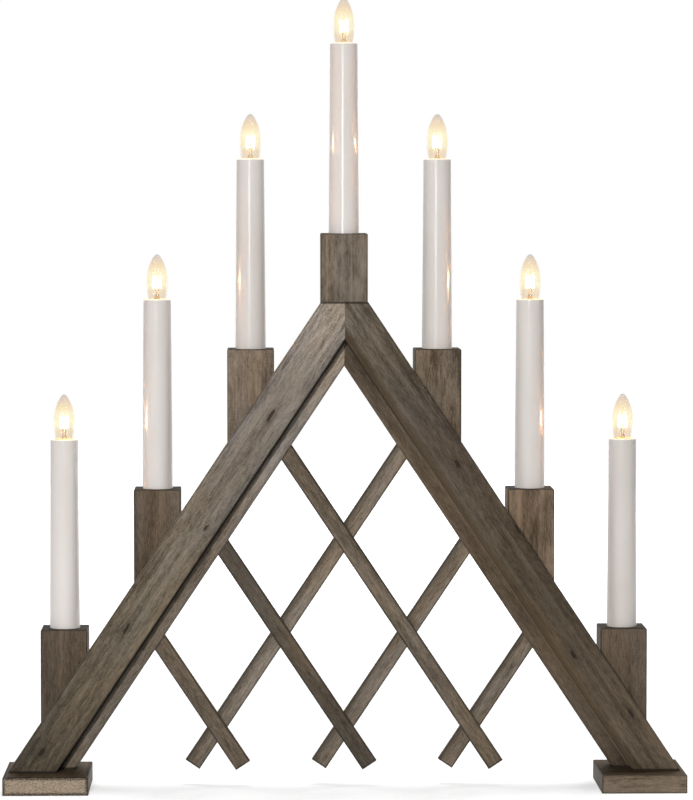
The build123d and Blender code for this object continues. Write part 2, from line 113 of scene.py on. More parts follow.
def vectorMath(tree, operation, *vectors):
    node = put(tree, "ShaderNodeVectorMath", dict(enumerate(vectors)), operation=operation)
    return node.outputs["Value" if operation in ("LENGTH", "DOT_PRODUCT") else "Vector"]


def split(tree, vector):
    return put(tree, "ShaderNodeSeparateXYZ", {"Vector": vector}).outputs


def stretchedNoise(tree, vector, scale, detail, rough, bend=0.0):
    mapping = put(tree, "ShaderNodeMapping", {"Vector": vector, "Scale": scale})
    return put(tree, "ShaderNodeTexNoise", {
        "Vector": mapping.outputs[0], "Scale": 1.0, "Detail": detail, "Roughness": rough,
        "Distortion": bend}).outputs["Fac"]


def blended(tree, factor, first, second):
    return put(tree, "ShaderNodeMixShader", {0: factor, 1: first.outputs[0], 2: second.outputs[0]})


def closeTree(tree, shader):
    put(tree, "ShaderNodeOutputMaterial", {"Surface": shader.outputs[0]})


def dress(name, material):
    mesh = nodes[name].data
    mesh.materials.clear()
    mesh.materials.append(material)


# the slope of the gable, from two neighbouring candle blocks
upperBox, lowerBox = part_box("candle_block_5"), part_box("candle_block_6")
slopeRun = lowerBox[1].x - upperBox[1].x
slopeRise = upperBox[1].z - lowerBox[1].z
slopeLength = (slopeRun ** 2 + slopeRise ** 2) ** 0.5
downLeft = (-slopeRun / slopeLength, 0.0, -slopeRise / slopeLength)
downRight = (slopeRun / slopeLength, 0.0, -slopeRise / slopeLength)
upright = (0.0, 0.0, -1.0)
sideways = (1.0, 0.0, 0.0)
inDepth = (0.0, 1.0, 0.0)
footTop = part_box("left_foot")[1].z
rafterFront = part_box("left_rafter")[0].y


# grey-brown stained wood, its grain along each piece
woodLook = {
    "broad": ((7.0, 52.0, 52.0), 3.0, 0.6, 0.8),  # scale along and across the grain, detail, roughness, bend
    "blotch": ((38.0, 110.0, 110.0), 2.0, 0.5, 1.2),
    "streak": ((5.0, 230.0, 230.0), 4.0, 0.6, 0.5),
    "fleck": ((190.0, 1250.0, 1250.0), 2.0, 0.6),
    "speckle": ((1250.0, 1250.0, 1250.0), 1.0, 0.5),
    "shares": {"broad": 1.4, "blotch": 0.55, "streak": 1.05, "fleck": 1.4, "speckle": 0.7},
    "fine": ("fleck", "speckle"), "fineContrast": 0.95,  # the most contrast that these two take
    "darkest": (0.42, 0.4, 0.37), "palest": (1.58, 1.6, 1.63),  # times the stain
    "hue": ((9.0, 46.0, 46.0), 2.0, 0.5, 0.6), "hueSpan": (0.36, 0.64),
    "grey": (0.965, 1.0, 1.05), "brown": (1.04, 1.0, 0.94),  # times the stain
    "pore": ((70.0, 1100.0, 1100.0), 2.0, 0.6), "poreSpan": (0.6, 0.74),
    "poreShare": 0.45, "poreColour": (0.02, 0.015, 0.011), "poreSink": -0.8,
    "knotColour": (0.014, 0.01, 0.008), "knotRagged": 0.3,
    "knotHalo": (3.6, 0.8, 0.0, 0.3), "knotCore": (1.25, 0.65, 0.0, 0.85),  # in half sizes, then shares
    "rings": ((900.0, 800.0, 1900.0), 3.0, 0.75), "ringSpan": (0.34, 0.66),
    "endTones": (0.46, 1.54), "endTurn": (0.8, 0.9),  # speckle of the cut ends
    # arris colour: painted shade on the rounded edges
    "arris": (0.018, 0.014, 0.011), "arrisWide": 0.9 * mm, "arrisCore": 0.35, "arrisShare": 0.8,
    "wornSpan": (0.3, 0.6), "wornShare": (0.35, 1.0),
    "crownShadow": (1.3 * mm, 0.4, 0.85), "footShadow": (2.0 * mm, 0.4, 0.9),  # painted shadow lines at the crown and on the feet: width, darkest part, share
    # the last three shape the painted shadow in the batten corners
    "runCore": 0.2, "cornerShadowCore": 0.5, "cornerShadowShare": 0.92, "cornerShadowTurn": (0.21, 0.25),
    # where the painted shade on flat tops changes, in depth and by facing
    "topStep": 3 * mm, "topTurn": (0.8, 0.95),
    "rough": (0.55, 0.75), "gloss": 0.12, "bump": 0.2, "bumpDepth": 0.2 * mm,
    "seedStep": (0.37, 0.21, 0.13),
}


def woodNoises(tree, local):
    return {part: stretchedNoise(tree, local, *woodLook[part]) for part in woodLook["shares"]}


# soft drift, growth lines, short flecks and fine speckle make the tone
def woodTone(tree, noises, contrast):
    look = woodLook
    shares = {}
    for part, share in look["shares"].items():
        limit = look["fineContrast"] if part in look["fine"] else contrast
        shares[part] = min(contrast, limit) * share
    tone = 0.5 - 0.5 * sum(shares.values())
    for part, share in shares.items():
        tone = combine(tree, combine(tree, noises[part], share, "MULTIPLY"), tone)
    return mixed(tree, tone, colour(look["darkest"]), colour(look["palest"]))


def stainByHeight(tree, height, stain):
    low, tint = stain[0]
    body = colour(tint)
    for high, tint in stain[1:]:  # each colour takes over from the one below it
        body = mixed(tree, ranged(tree, height, low, high), body, colour(tint))
        low = high
    return body


def addKnot(tree, body, local, fleck, centre, halfLong, halfWide):
    look = woodLook
    size = (1.0 / halfLong, 0.0, 1.0 / halfWide)
    sized = vectorMath(tree, "MULTIPLY", vectorMath(tree, "SUBTRACT", local, centre), size)
    uneven = ranged(tree, fleck, *softSpan, -look["knotRagged"], look["knotRagged"])
    ragged = combine(tree, vectorMath(tree, "LENGTH", sized), uneven)
    halo = ranged(tree, ragged, *look["knotHalo"], True)
    core = ranged(tree, ragged, *look["knotCore"], True)
    return mixed(tree, combine(tree, halo, core, "MAXIMUM"), body, colour(look["knotColour"]))


# cut ends are speckled instead of streaked
def addEnds(tree, body, local, normal, grain, end):
    look = woodLook
    facing = combine(tree, vectorMath(tree, "DOT_PRODUCT", normal, grain), 0.0, "ABSOLUTE")
    rings = ranged(tree, stretchedNoise(tree, local, *look["rings"]), *look["ringSpan"])
    dark, pale = [colour(end, tone) for tone in look["endTones"]]
    return mixed(tree, ranged(tree, facing, *look["endTurn"]), body, mixed(tree, rings, dark, pale))


def arrisMask(tree, axes, corners, wide, squareEnds):
    near = []
    for axis, letter in enumerate("XYZ"):
        low = min(corner[axis] for corner in corners)
        high = max(corner[axis] for corner in corners)
        fromMiddle = awayFrom(tree, axes[letter], (low + high) / 2)
        edge = (high - low) / 2
        core = edge - woodLook["arrisCore"] * wide
        near.append(ranged(tree, fromMiddle, edge - wide, core, 0.0, 1.0, True))
    nearEnd, nearFace, nearSide = near
    arris = combine(tree, nearFace, nearSide, "MULTIPLY")
    if squareEnds:
        for other in (nearFace, nearSide):
            arris = combine(tree, arris, combine(tree, nearEnd, other, "MULTIPLY"), "MAXIMUM")
    return arris


def edgeLine(tree, body, value, line, tint, wide, core, share):
    off = awayFrom(tree, value, line)
    return mixed(tree, ranged(tree, off, wide, core * wide, 0.0, share, True), body, tint)


def edgeToward(places, others):
    middle = sum(others) / len(others)
    return min(min(places), max(places), key=lambda edge: abs(edge - middle))


def dressWood(nodeName, name, grain, seed, stain, end, contrast=1.0, knots=(), squareEnds=True,
              arrisWide=woodLook["arrisWide"], arrisShare=woodLook["arrisShare"], crownShadowLine=False,
              darkEdgeBand=None, cornerShadow=None, shadowOnFoot=False, paintedTopShade=None):
    look = woodLook
    material, tree = newTree(name)
    where = put(tree, "ShaderNodeTexCoord").outputs
    if grain == inDepth:
        turn = Euler((0.0, 0.0, radians(-90)))
    else:
        turn = Euler((0.0, atan2(grain[2], grain[0]), 0.0))
    shift = Vector([seed * step for step in look["seedStep"]])
    local = put(tree, "ShaderNodeMapping", {
        "Vector": where["Object"], "Rotation": turn, "Location": shift}).outputs[0]
    axes = split(tree, local)
    place = split(tree, where["Object"])

    def inGrain(point):
        return turn.to_matrix() @ point + shift

    def across(node):
        return [inGrain(vert.co).z for vert in nodes[node].data.vertices]

    noises = woodNoises(tree, local)
    shade = woodTone(tree, noises, contrast)
    body = mixed(tree, 1.0, stainByHeight(tree, place["Z"], stain), shade, "MULTIPLY")
    hue = ranged(tree, stretchedNoise(tree, local, *look["hue"]), *look["hueSpan"])
    drift = mixed(tree, hue, colour(look["grey"]), colour(look["brown"]))
    body = mixed(tree, 1.0, body, drift, "MULTIPLY")
    pore = ranged(tree, stretchedNoise(tree, local, *look["pore"]), *look["poreSpan"])
    pores = combine(tree, pore, look["poreShare"], "MULTIPLY")
    body = mixed(tree, pores, body, colour(look["poreColour"]))
    for knotX, knotZ, halfLong, halfWide in knots:
        centre = inGrain(Vector((knotX, 0.0, knotZ)))
        body = addKnot(tree, body, local, noises["fleck"], centre, halfLong, halfWide)
    body = addEnds(tree, body, local, where["Normal"], grain, end)

    # painted shade along the arrises, where the rounded edges turn from the light, broken up like wear;
    # painted shade lines in the corners follow
    shadeInk = colour(look["arris"])
    corners = [inGrain(vert.co) for vert in nodes[nodeName].data.vertices]
    arris = arrisMask(tree, axes, corners, arrisWide, squareEnds)
    worn = ranged(tree, noises["speckle"], *look["wornSpan"], *look["wornShare"])
    arrisShade = combine(tree, combine(tree, arris, worn, "MULTIPLY"), arrisShare, "MULTIPLY")
    body = mixed(tree, arrisShade, body, shadeInk)
    if crownShadowLine:  # painted shadow line along the level cut at the crown, where the crown block meets it
        body = edgeLine(tree, body, place["Z"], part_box(nodeName)[1].z, shadeInk, *look["crownShadow"])
    if darkEdgeBand:  # another colour along the edge beside a piece
        besideNode, wide, share, tint = darkEdgeBand
        line = edgeToward(across(nodeName), across(besideNode))
        body = edgeLine(tree, body, axes["Z"], line, colour(tint), wide, look["runCore"], share)
    if cornerShadow:  # painted shadow in the corner beside the piece in front, where its edge shades this piece
        frontNode, wide, lowTint, highTint = cornerShadow
        line = edgeToward(across(frontNode), across(nodeName))
        tint = mixed(tree, ranged(tree, place["Z"], *look["cornerShadowTurn"]), colour(lowTint), colour(highTint))
        body = edgeLine(tree, body, axes["Z"], line, tint, wide, look["cornerShadowCore"], look["cornerShadowShare"])
    if shadowOnFoot:  # painted shadow line where the piece stands on a foot
        body = edgeLine(tree, body, place["Z"], footTop, shadeInk, *look["footShadow"])
    if paintedTopShade:  # painted shade on the flat tops, deepest in front of the rafter, where its shadow falls
        front, behind = paintedTopShade
        depth = ranged(tree, place["Y"], rafterFront, rafterFront + look["topStep"])
        darker = mixed(tree, 1.0, body, mixed(tree, depth, colour(front), colour(behind)), "MULTIPLY")
        facesUp = ranged(tree, split(tree, where["Normal"])["Z"], *look["topTurn"])
        body = mixed(tree, facesUp, body, darker)

    relief = combine(tree, noises["fleck"], combine(tree, pores, look["poreSink"], "MULTIPLY"))
    bump = put(tree, "ShaderNodeBump", {
        "Height": relief, "Strength": look["bump"], "Distance": look["bumpDepth"]})
    closeTree(tree, put(tree, "ShaderNodeBsdfPrincipled", {
        "Base Color": body, "Roughness": ranged(tree, noises["streak"], *softSpan, *look["rough"]),
        "Normal": bump.outputs[0], "Specular IOR Level": look["gloss"]}))
    dress(nodeName, material)


def dressPair(kind, look, grains, seed):
    for step, (side, grain) in enumerate(zip(("left", "right"), grains)):
        name = f"{side}{kind.capitalize()}Wood"
        dressWood(f"{side}_{kind}", name, grain, seed + step, **look[side], **look["both"])


rafterLook = {
    "left": {
        "stain": (  # height and colour
            (0.03, (0.081, 0.065, 0.046)), (0.13, (0.144, 0.116, 0.083)), (0.2, (0.15, 0.126, 0.102)),
            (0.275, (0.144, 0.122, 0.103)), (0.325, (0.3, 0.254, 0.21))),
        "knots": (  # x, z, half length, half width
            (-0.0502, 0.2566, 0.0055, 0.0013), (-0.0946, 0.1795, 0.003, 0.0012),
            (-0.1492, 0.1109, 0.0045, 0.0012), (-0.2063, 0.0269, 0.0035, 0.0014)),
        "contrast": 1.15,
    },
    "right": {
        "stain": (
            (0.03, (0.089, 0.068, 0.048)), (0.12, (0.066, 0.048, 0.031)), (0.19, (0.089, 0.07, 0.052)),
            (0.24, (0.076, 0.056, 0.04)), (0.325, (0.13, 0.11, 0.088))),
        "knots": (
            (0.0766, 0.2234, 0.0035, 0.0016), (0.1176, 0.1787, 0.004, 0.0018),
            (0.1166, 0.1377, 0.003, 0.0009), (0.156, 0.0925, 0.0045, 0.0013),
            (0.1956, 0.0521, 0.0042, 0.0011)),
        "contrast": 1.4,
        "darkEdgeBand": ("right_batten", 7.0 * mm, 0.7, (0.055, 0.036, 0.019)),  # beside, width, share, colour
    },
    "both": {"end": (0.06, 0.047, 0.035), "squareEnds": False, "arrisShare": 0.75, "shadowOnFoot": True,
             "crownShadowLine": True},
}
dressPair("rafter", rafterLook, (downLeft, downRight), 1)

battenLook = {
    "left": {  # painted corner shadow: the piece in front, width, colour low down, colour high up
        "stain": ((0.03, (0.125, 0.103, 0.08)), (0.2, (0.165, 0.138, 0.111)), (0.3, (0.24, 0.203, 0.165))),
        "cornerShadow": ("left_rafter", 2.7 * mm, (0.014, 0.011, 0.008), (0.014, 0.011, 0.008)),
    },
    "right": {
        "stain": ((0.03, (0.086, 0.064, 0.044)), (0.3, (0.098, 0.074, 0.052))),
        "cornerShadow": ("right_rafter", 0.9 * mm, (0.125, 0.094, 0.066), (0.018, 0.014, 0.011)),
    },
    "both": {"end": (0.06, 0.047, 0.035), "squareEnds": False, "shadowOnFoot": True},
}
dressPair("batten", battenLook, (downLeft, downRight), 3)

blockLook = {
    # end: the blocks' cut ends, end grain darkened further as painted shade on their tops
    "stain": (0.15, 0.113, 0.081), "end": (0.026, 0.02, 0.015), "seed": 4,
    "tone": (0.605, 0.735, 1.1, 0.97, 0.877, 0.906, 0.663),  # left to right
    "paintedGlow": (1.0, 1.0, 0.98, 0.95, 0.97, 1.09, 1.0),
    "contrast": (0.8, 1.1, 1.15, 2.2, 1.6, 1.8, 0.75),
}
for number, tone, paintedGlow, contrast in zip(
        numbers, blockLook["tone"], blockLook["paintedGlow"], blockLook["contrast"]):
    red, green, blue = blockLook["stain"]
    stain = (tone * red * paintedGlow, tone * green, tone * blue / paintedGlow)
    dressWood(f"candle_block_{number}", f"blockWood{number}", upright, blockLook["seed"] + number,
              ((0.0, stain),), blockLook["end"], contrast)

slatLook = {
    "front": {
        "tones": (0.87, 0.58, 0.85), "stain": (0.141, 0.111, 0.081), "fade": ((0.0, 1.0),),
        "darkEdgeBand": None, "grain": downRight, "seed": 12,
    },
    "rear": {
        "tones": (1.3, 1.29, 1.23), "stain": (0.142, 0.114, 0.086),
        "fade": ((0.02, 0.8), (0.07, 1.0)),  # height and share, darker toward the foot
        "darkEdgeBand": ("left_rafter", 5.0 * mm, 0.55, (0.05, 0.042, 0.033)), "grain": downLeft, "seed": 15,
    },
    "both": {"end": (0.1, 0.08, 0.062), "contrast": 0.95, "arrisWide": 1.6 * mm},
}
for layer in ("front", "rear"):
    look = slatLook[layer]
    for place, tone in enumerate(look["tones"], 1):
        stain = [(height, [tone * share * part for part in look["stain"]]) for height, share in look["fade"]]
        dressWood(f"{layer}_slat_{place}", f"{layer}SlatWood{place}", look["grain"], look["seed"] + place,
                  stain, darkEdgeBand=look["darkEdgeBand"], **slatLook["both"])

footLook = {
    "left": {
        "stain": ((0.0, (0.098, 0.077, 0.056)),), "end": (0.29, 0.231, 0.168),
        "paintedTopShade": ((0.48, 0.42, 0.34), (0.7, 0.63, 0.53)),  # painted shade on the top in front of the rafter, then behind its face
        "arrisWide": 2.8 * mm, "arrisShare": 0.95,
    },
    "right": {
        "stain": ((0.0, (0.142, 0.106, 0.073)),), "end": (0.09, 0.07, 0.05),
        "paintedTopShade": ((0.32, 0.29, 0.25), (0.46, 0.41, 0.35)),
        "arrisWide": 1.3 * mm, "arrisShare": 0.7,
    },
    "both": {"contrast": 1.2},
}
dressPair("foot", footLook, (inDepth, sideways), 19)
print("wood dressed")


# plain finishes with a little life in them
plainLook = {"detail": 4.0, "rough": 0.6, "bump": 0.05, "bumpDepth": 0.1 * mm, "gloss": 0.5}


def plainFinish(name, tint, worn, scale, rough, metal):
    look = plainLook
    material, tree = newTree(name)
    where = put(tree, "ShaderNodeTexCoord").outputs
    grain = stretchedNoise(tree, where["Object"], (scale, scale, scale), look["detail"], look["rough"])
    body = mixed(tree, ranged(tree, grain, *firmSpan), colour(worn), colour(tint))
    bump = put(tree, "ShaderNodeBump", {
        "Height": grain, "Strength": look["bump"], "Distance": look["bumpDepth"]})
    closeTree(tree, put(tree, "ShaderNodeBsdfPrincipled", {
        "Base Color": body, "Roughness": ranged(tree, grain, *softSpan, *rough),
        "Normal": bump.outputs[0], "Metallic": metal, "Specular IOR Level": look["gloss"]}))
    return material


fittingLook = {  # colour, worn colour, scale of the wear, roughness, metal
    "holderPlastic": ((0.74, 0.69, 0.6), (0.66, 0.6, 0.5), 400.0, (0.35, 0.5), 0.0),
    "socketBrass": ((0.72, 0.5, 0.2), (0.45, 0.29, 0.1), 350.0, (0.22, 0.42), 1.0),
    "pinSteel": ((0.5, 0.49, 0.47), (0.3, 0.29, 0.28), 900.0, (0.3, 0.5), 1.0),
    "screwZinc": ((0.62, 0.58, 0.46), (0.38, 0.35, 0.28), 700.0, (0.25, 0.45), 1.0),
    "wireSkin": ((0.03, 0.1, 0.04), (0.018, 0.06, 0.025), 250.0, (0.35, 0.5), 0.0),
    "tipGlass": ((0.03, 0.026, 0.024), (0.012, 0.01, 0.01), 600.0, (0.12, 0.25), 0.0),
}
fittings = {name: plainFinish(name, *look) for name, look in fittingLook.items()}
dress("lampholders", fittings["holderPlastic"])
dress("socket_shells", fittings["socketBrass"])
dress("socket_contacts", fittings["socketBrass"])
dress("lattice_pins", fittings["pinSteel"])
dress("foot_screws", fittings["screwZinc"])
dress("series_wires", fittings["wireSkin"])
for number in numbers:
    dress(f"bulb_tip_{number}", fittings["tipGlass"])
print("fittings dressed")


# shared mesh helpers
meshLook = {"weld": 0.002 * mm, "sharpAngle": radians(40)}


def candleAxis(number):
    low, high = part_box(f"candle_tube_{number}")
    return Vector(((low.x + high.x) / 2, (low.y + high.y) / 2, high.z))  # on the rim


def profileLoop(mesh, points, close=False):
    verts = [mesh.verts.new((x, 0.0, z)) for x, z in points]
    pairs = list(zip(verts, verts[1:]))
    if close:
        pairs.append((verts[-1], verts[0]))
    edges = [mesh.edges.new(pair) for pair in pairs]
    return verts, edges


def spinRound(mesh, verts, edges, steps):
    bmesh.ops.spin(mesh, geom=verts + edges, cent=(0, 0, 0), axis=(0, 0, 1), angle=2 * pi, steps=steps,
                   use_merge=True, use_duplicate=False)
    bmesh.ops.remove_doubles(mesh, verts=mesh.verts, dist=meshLook["weld"])
    bmesh.ops.recalc_face_normals(mesh, faces=mesh.faces)


def addTurned(mesh, points, steps, close=False, wall=None):
    part = bmesh.new()
    verts, edges = profileLoop(part, points, close)
    spinRound(part, verts, edges, steps)
    if wall:
        bmesh.ops.solidify(part, geom=part.faces[:], thickness=wall)
    data = bpy.data.meshes.new("turnedPart")
    part.to_mesh(data)
    part.free()
    mesh.from_mesh(data)
    bpy.data.meshes.remove(data)


def finishPiece(mesh, name, at, materials, smooth=True):
    bmesh.ops.transform(mesh, matrix=Matrix.Translation(at), verts=mesh.verts)
    data = bpy.data.meshes.new(name)
    for face in mesh.faces:
        face.smooth = smooth
    mesh.to_mesh(data)
    mesh.free()
    for material in materials:
        data.materials.append(material)
    piece = bpy.data.objects.new(name, data)
    scene.collection.objects.link(piece)
    return piece


def markSharp(piece):
    mesh = bmesh.new()
    mesh.from_mesh(piece.data)
    for edge in mesh.edges:
        if len(edge.link_faces) == 2 and edge.calc_face_angle() > meshLook["sharpAngle"]:
            edge.smooth = False
    mesh.to_mesh(piece.data)
    mesh.free()


# glossy plastic candle tubes
tubeLook = {
    "rimRadius": 9.426 * mm, "boreRadius": 7.926 * mm, "rimRound": 0.55 * mm, "rimSegments": 4,
    "seatDepth": 16.0 * mm, "hold": 0.3 * mm, "steps": 96,
    "tint": (0.64, 0.603, 0.575), "shade": (0.595, 0.548, 0.512),
    "tone": (1.05, 1.0, 1.0, 1.06, 1.0, 1.0, 0.95),  # left to right; painted light: brighter at the left, darker at the right, where less light falls
    "rough": (0.15, 0.14, 0.15, 0.11, 0.15, 0.14, 0.15), "roughDrift": 1.3,
    "drift": ((40.0, 40.0, 9.0), 2.0, 0.5), "fine": ((700.0, 700.0, 500.0), 2.0, 0.5),
    "bump": 0.02, "bumpDepth": 0.05 * mm, "gloss": 0.5,
    "milky": 0.15, "milkyTint": (1.0, 0.7, 0.5), "milkyDepth": 1.2 * mm,
    "glow": 0.42, "glowTint": (1.0, 0.83, 0.52),  # painted glow in the rim, standing in for the bulb's light in the plastic
    "glowDepth": 1.0 * mm, "glowCore": 0.4,
}


def tubeFinish(number):
    look = tubeLook
    rim = candleAxis(number).z
    tone = look["tone"][number - 1]
    least = look["rough"][number - 1]
    material, tree = newTree(f"candlePlastic{number}")
    where = put(tree, "ShaderNodeTexCoord").outputs
    drift = stretchedNoise(tree, where["Object"], *look["drift"])
    dark, pale = colour(look["shade"], tone), colour(look["tint"], tone)
    body = mixed(tree, ranged(tree, drift, *firmSpan), dark, pale)
    rough = ranged(tree, drift, *softSpan, least, look["roughDrift"] * least)
    bump = put(tree, "ShaderNodeBump", {
        "Height": stretchedNoise(tree, where["Object"], *look["fine"]), "Strength": look["bump"],
        "Distance": look["bumpDepth"]})
    height = split(tree, where["Object"])["Z"]
    brightest = rim - look["glowCore"] * look["glowDepth"]
    # painted light: the top of the tube glows by its own emission, brightest just under the rim
    glow = ranged(tree, height, rim - look["glowDepth"], brightest, 0.0, look["glow"], True)
    closeTree(tree, put(tree, "ShaderNodeBsdfPrincipled", {
        "Base Color": body, "Roughness": rough, "Normal": bump.outputs[0],
        "Emission Color": colour(look["glowTint"]), "Emission Strength": glow,
        "Subsurface Weight": look["milky"], "Subsurface Radius": look["milkyTint"],
        "Subsurface Scale": look["milkyDepth"], "Specular IOR Level": look["gloss"]}))
    return material


def makeTube(number):
    look = tubeLook
    low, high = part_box(f"candle_tube_{number}")
    rimRadius, boreRadius = look["rimRadius"], look["boreRadius"]
    baseRadius = (high.x - low.x) / 2
    depth = high.z - low.z
    shoulder = look["seatDepth"] - depth
    taper = (rimRadius - baseRadius) / -shoulder
    lowHold = shoulder + look["hold"]  # rings that keep the shading straight between them
    highHold = -look["rimRound"] - look["hold"]
    mesh = bmesh.new()
    verts, edges = profileLoop(mesh, (
        (boreRadius, -depth), (baseRadius, -depth), (baseRadius, shoulder),
        (rimRadius + taper * lowHold, lowHold), (rimRadius + taper * highHold, highHold),
        (rimRadius, 0.0), (boreRadius, 0.0)), close=True)
    outerRim = verts[-2]
    bmesh.ops.bevel(mesh, geom=[outerRim], offset=look["rimRound"], offset_type="OFFSET",
                    segments=look["rimSegments"], profile=0.5, affect="VERTICES", material=-1)
    spinRound(mesh, list(mesh.verts), list(mesh.edges), look["steps"])
    tube = finishPiece(mesh, f"candleTube{number}", candleAxis(number), [tubeFinish(number)])
    markSharp(tube)
    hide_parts(f"candle_tube_{number}")
    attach(tube, "frame")


for number in numbers:
    makeTube(number)
print("tubes made")


# clear flame bulbs, heights counted from the tube's rim
bulbLook = {
    "outline": ((4.5, -7.6), (4.5, -4.4), (5.95, -3.0), (6.35, 0.0), (7.05, 5.0), (7.5, 10.5), (7.46, 15.0),
                (6.75, 19.5), (5.4, 23.6), (3.75, 27.2), (2.3, 29.4), (1.05, 30.35), (0.0, 30.62)),
    "stem": ((0.0, 2.6), (1.0, 2.3), (1.45, 1.4), (1.5, -1.0), (1.9, -4.0), (3.6, -6.8)),
    "steps": 32, "stemSteps": 16, "wall": 0.55 * mm, "smoothing": 1,
    "tintSpan": (-4 * mm, 31 * mm),
    "glowTints": ((0.0, (0.97, 0.87, 0.62)), (0.17, (0.93, 0.845, 0.745)), (0.27, (0.945, 0.86, 0.73)),
              (0.37, (0.97, 0.94, 0.8)), (0.6, (0.97, 0.935, 0.79)), (0.76, (0.965, 0.875, 0.72)),
              (0.87, (0.92, 0.83, 0.745)), (1.0, (0.82, 0.785, 0.75))),  # share of that span, colour; painted glow colours of the lit bulb, laid into the clear glass
    # painted glow of the lit glass: where it rises and falls, its strength and colour
    "warmRise": (0.2, 0.48), "warmFall": (0.56, 0.84), "paintedGlow": 0.03, "paintedGlowTint": (1.0, 0.78, 0.42),
    "rough": 0.03, "ior": 1.38, "shadowTint": (0.97, 0.93, 0.88),
}


def glassFinish(number):
    look = bulbLook
    rim = candleAxis(number).z
    material, tree = newTree(f"flameGlass{number}")
    height = split(tree, put(tree, "ShaderNodeTexCoord").outputs["Object"])["Z"]
    low, high = look["tintSpan"]
    level = ranged(tree, height, rim + low, rim + high)
    # tinted by height with painted glow colours
    tint = put(tree, "ShaderNodeValToRGB", {"Fac": level})
    ramp = tint.color_ramp.elements
    while len(ramp) < len(look["glowTints"]):
        ramp.new(0.5)
    for element, (place, rgb) in zip(ramp, look["glowTints"]):
        element.position = place
        element.color = colour(rgb)
    # painted glow: the glass emits a faint warm band around its middle
    rise = ranged(tree, level, *look["warmRise"], 0.0, 1.0, True)
    fall = ranged(tree, level, *look["warmFall"], 1.0, 0.0, True)
    glowBand = combine(tree, combine(tree, rise, fall, "MULTIPLY"), look["paintedGlow"], "MULTIPLY")
    glass = put(tree, "ShaderNodeBsdfPrincipled", {
        "Base Color": tint.outputs["Color"], "Roughness": look["rough"], "IOR": look["ior"],
        "Transmission Weight": 1.0, "Emission Color": colour(look["paintedGlowTint"]), "Emission Strength": glowBand})
    clear = put(tree, "ShaderNodeBsdfTransparent", {"Color": colour(look["shadowTint"])})
    path = put(tree, "ShaderNodeLightPath").outputs
    closeTree(tree, blended(tree, path["Is Shadow Ray"], glass, clear))  # lets the bulb's light out
    return material


def makeGlass(number):
    look = bulbLook
    mesh = bmesh.new()
    for part, steps in (("outline", look["steps"]), ("stem", look["stemSteps"])):
        addTurned(mesh, [(x * mm, z * mm) for x, z in look[part]], steps, wall=look["wall"])
    bulb = finishPiece(mesh, f"bulbGlass{number}", candleAxis(number), [glassFinish(number)])
    rounding = bulb.modifiers.new("round", "SUBSURF")
    rounding.levels = look["smoothing"]
    rounding.render_levels = look["smoothing"]
    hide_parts(f"bulb_globe_{number}")
    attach(bulb, f"bulb_{number}")


# leads and the lit filament, strung in a zigzag cage
filamentLook = {
    "coilThick": 0.2 * mm, "cageRadius": 2.8 * mm, "cageLow": 7.4 * mm, "cageHigh": 15.4 * mm,
    "legs": 15, "gap": radians(40),
    "leadThick": 0.22 * mm, "leadFoot": (0.7 * mm, 0.0, 1.6 * mm),
    "leadKnee": (0.95 * mm, -0.6 * mm, 5.2 * mm), "wireRound": 2,
    "strength": 60.0, "dimmest": 0.85, "hot": (1.0, 0.8, 0.52), "cold": (0.3, 0.28, 0.26), "rough": 0.5,
    "flicker": ((900.0, 900.0, 900.0), 1.0, 0.5),
    "lead": ((0.6, 0.42, 0.2), (0.4, 0.27, 0.12), 900.0, (0.3, 0.45), 0.6),
}


def litFinish():
    look = filamentLook
    material, tree = newTree("hotWire")
    where = put(tree, "ShaderNodeTexCoord").outputs
    flicker = stretchedNoise(tree, where["Object"], *look["flicker"])
    strength = ranged(tree, flicker, *softSpan, look["dimmest"] * look["strength"], look["strength"])
    closeTree(tree, put(tree, "ShaderNodeBsdfPrincipled", {
        "Base Color": colour(look["cold"]), "Roughness": look["rough"],
        "Emission Color": colour(look["hot"]), "Emission Strength": strength}))
    material.cycles.emission_sampling = "NONE"  # the bulb lights below light the room
    return material


hotWire = litFinish()
leadCopper = plainFinish("leadCopper", *filamentLook["lead"])


def wirePiece(name, runs, thick, material):
    curve = bpy.data.curves.new(name, "CURVE")
    curve.dimensions = "3D"
    curve.bevel_depth = thick
    curve.bevel_resolution = filamentLook["wireRound"]
    curve.use_fill_caps = True
    for run in runs:
        line = curve.splines.new("POLY")
        line.points.add(len(run) - 1)
        for point, place in zip(line.points, run):
            point.co = (*place, 1.0)
    drawn = bpy.data.objects.new(name + "Line", curve)
    scene.collection.objects.link(drawn)
    bpy.context.view_layer.update()
    data = bpy.data.meshes.new_from_object(drawn.evaluated_get(bpy.context.evaluated_depsgraph_get()))
    bpy.data.objects.remove(drawn)
    data.name = name
    data.materials.clear()
    data.materials.append(material)
    for face in data.polygons:
        face.use_smooth = True
    piece = bpy.data.objects.new(name, data)
    scene.collection.objects.link(piece)
    return piece


def makeFilament(number):
    look = filamentLook
    rim = candleAxis(number)
    radius = look["cageRadius"]
    cage = []
    for leg in range(look["legs"]):
        angle = -pi / 2 + look["gap"] / 2 + leg * (2 * pi - look["gap"]) / (look["legs"] - 1)
        height = look["cageLow"] if leg % 2 == 0 else look["cageHigh"]
        cage.append(rim + Vector((radius * cos(angle), radius * sin(angle), height)))
    leads = []
    for side, end in ((-1, cage[-1]), (1, cage[0])):
        lead = [rim + Vector((side * x, y, z)) for x, y, z in (look["leadFoot"], look["leadKnee"])]
        leads.append([*lead, end])
    coil = wirePiece(f"bulbCoil{number}", [cage], look["coilThick"], hotWire)
    coil.visible_diffuse = False
    wires = wirePiece(f"bulbLeads{number}", leads, look["leadThick"], leadCopper)
    for piece in (coil, wires):
        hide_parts(f"bulb_filament_{number}")
        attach(piece, f"bulb_{number}")


